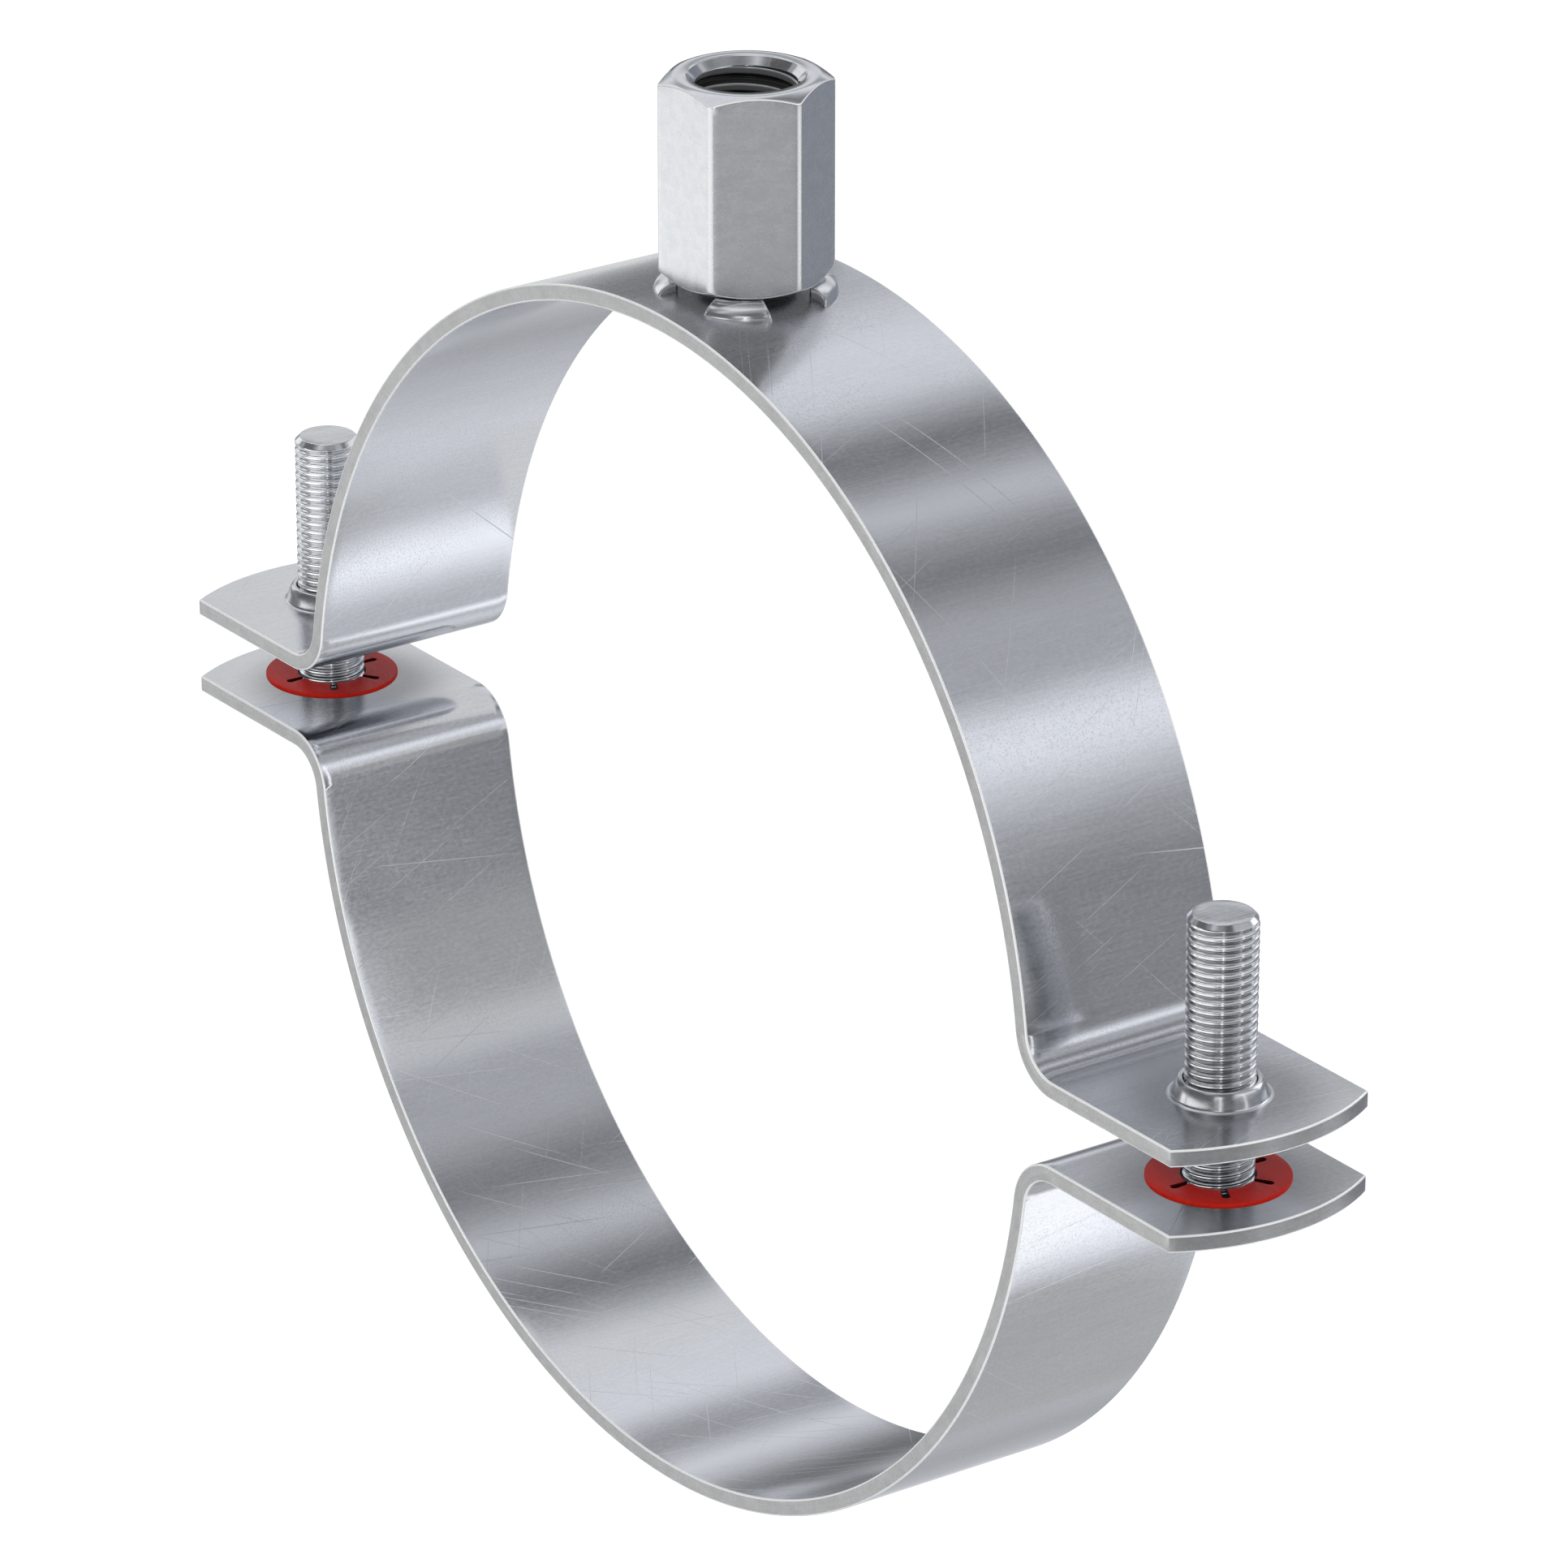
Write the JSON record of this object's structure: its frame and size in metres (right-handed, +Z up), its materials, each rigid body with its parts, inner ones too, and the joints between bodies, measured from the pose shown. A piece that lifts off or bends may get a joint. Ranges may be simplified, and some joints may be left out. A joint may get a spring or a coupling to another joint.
{
  "type": "ventilation duct clamp",
  "caption": "Two-part steel clamp for a round ventilation duct, with ears closed by captive screws and a long hexagon connection nut welded on top for a threaded rod.",
  "frame": {"origin": "on the duct axis, midway along the band's width and midway between the two pairs of ears", "axes": "+Z up through the connection nut, Y along the duct, X along the ears from the left screw to the right one"},
  "size_m": [0.1508, 0.02, 0.1264],
  "materials": {
    "zinc_plated_strip": "zinc-plated, finely brushed",
    "zinc_plated_nut": "satin zinc plate",
    "weld_metal": "smooth bright weld metal",
    "zinc_plated_screw": "bright zinc plate",
    "red_washer": "matt, finely grained"
  },
  "bodies": {
    "upper_half": {"upper_band": "zinc_plated_strip", "connection_nut": "zinc_plated_nut", "weld_foot_front": "weld_metal", "weld_foot_left": "weld_metal", "weld_foot_right": "weld_metal", "weld_foot_back": "weld_metal"},
    "lower_half": {"lower_band": "zinc_plated_strip", "left_retaining_washer": "red_washer", "right_retaining_washer": "red_washer"},
    "left_screw": {"left_screw": "zinc_plated_screw"},
    "right_screw": {"right_screw": "zinc_plated_screw"}
  },
  "joints": [
    {"name": "closing_slide", "type": "slide", "parent": "upper_half", "child": "lower_half", "axis": [0, 0, 1], "range_m": [-0.0135, 0.0055]},
    {"name": "left_screw_turn", "type": "hinge", "parent": "lower_half", "child": "left_screw", "pos_m": [-0.0661, 0, 0], "axis": [0, 0, 1], "range_deg": [-6075.01, 2475.01]},
    {"name": "right_screw_turn", "type": "hinge", "parent": "lower_half", "child": "right_screw", "pos_m": [0.0661, 0, 0], "axis": [0, 0, 1], "range_deg": [-6075.01, 2475.01]}
  ],
  "couplings": [
    {"joint": "left_screw_turn", "follows": "closing_slide", "rad_per_m": 7854},
    {"joint": "right_screw_turn", "follows": "closing_slide", "rad_per_m": 7854}
  ]
}
